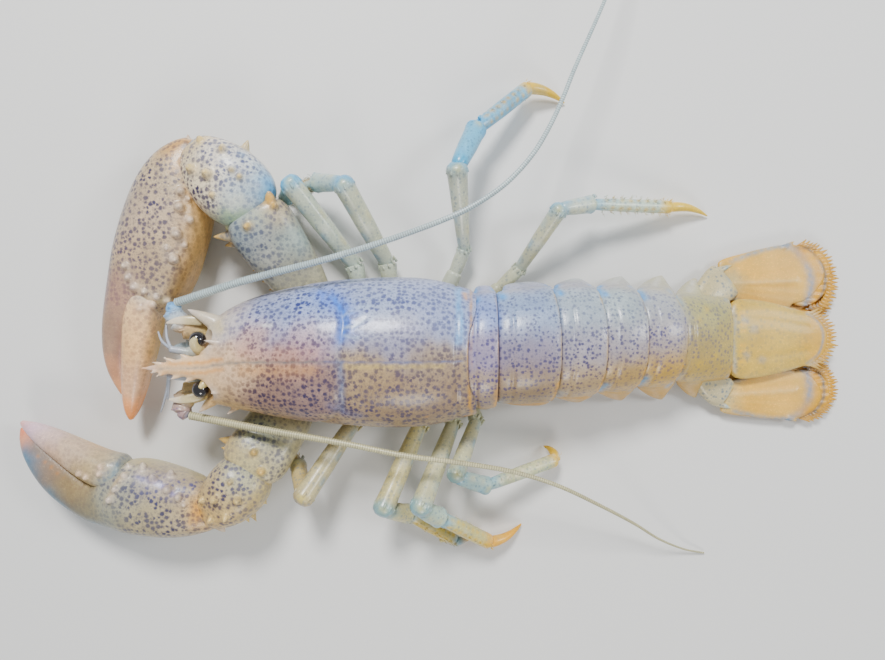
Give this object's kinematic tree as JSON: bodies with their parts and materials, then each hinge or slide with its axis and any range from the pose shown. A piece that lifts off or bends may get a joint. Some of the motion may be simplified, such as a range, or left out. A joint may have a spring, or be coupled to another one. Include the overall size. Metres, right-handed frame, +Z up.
{
  "type": "american lobster",
  "caption": "Pale lavender American lobster lying flat on its belly, claws forward, tail fan spread behind and long antennae swept back.",
  "frame": {"origin": "on the flat underside of the breastplate, on the floor plane, under the middle of the carapace", "axes": "-X towards the head, +X towards the tail fan, +Y to the animal's right side, +Z up from the floor"},
  "size_m": [0.3565, 0.3041, 0.0488],
  "materials": {
    "back_shell": "wet, pearly shell, lavender with purple spots",
    "claw_shell": "wet, pearly shell, beige with purple spots",
    "leg_shell": "wet, pearly shell, cream and sky blue",
    "fan_shell": "thin, translucent peach plates with an orange fringe",
    "feeler": "finely ringed, pale blue-grey",
    "eye": "glossy black"
  },
  "bodies": {
    "root": {"carapace": "back_shell", "eye_stalk_R": "claw_shell", "eye_R": "eye", "eye_stalk_L": "claw_shell", "eye_L": "eye", "sternum": "leg_shell", "maxilliped_R": "leg_shell", "maxilliped_L": "leg_shell", "antenna_base_R": "leg_shell", "antenna_scale_R": "claw_shell", "antenna_root_R": "feeler", "antenna_middle_R": "feeler", "antenna_tip_R": "feeler", "antenna_base_L": "leg_shell", "antenna_scale_L": "claw_shell", "antenna_root_L": "feeler", "antenna_middle_L": "feeler", "antenna_tip_L": "feeler", "antennule_R": "leg_shell", "antennule_L": "leg_shell", "claw_finger_R": "claw_shell", "claw_palm_R": "claw_shell", "claw_carpus_R": "leg_shell", "claw_merus_R": "leg_shell", "claw_ischium_R": "leg_shell", "claw_finger_L": "claw_shell", "claw_palm_L": "claw_shell", "claw_carpus_L": "leg_shell", "claw_merus_L": "leg_shell", "claw_ischium_L": "leg_shell", "abdomen_1": "back_shell", "abdomen_2": "back_shell", "abdomen_3": "back_shell", "abdomen_4": "back_shell", "abdomen_5": "back_shell", "abdomen_6": "back_shell", "telson": "fan_shell", "uropod_base_R": "leg_shell", "uropod_outer_R": "fan_shell", "uropod_inner_R": "fan_shell", "uropod_base_L": "leg_shell", "uropod_outer_L": "fan_shell", "uropod_inner_L": "fan_shell", "leg_lower_R1": "leg_shell", "leg_upper_R1": "leg_shell", "leg_lower_R2": "leg_shell", "leg_upper_R2": "leg_shell", "leg_lower_R3": "leg_shell", "leg_upper_R3": "leg_shell", "leg_lower_R4": "leg_shell", "leg_upper_R4": "leg_shell", "leg_lower_L1": "leg_shell", "leg_upper_L1": "leg_shell", "leg_lower_L2": "leg_shell", "leg_upper_L2": "leg_shell", "leg_lower_L3": "leg_shell", "leg_upper_L3": "leg_shell", "leg_lower_L4": "leg_shell", "leg_upper_L4": "leg_shell"}
  },
  "joints": []
}
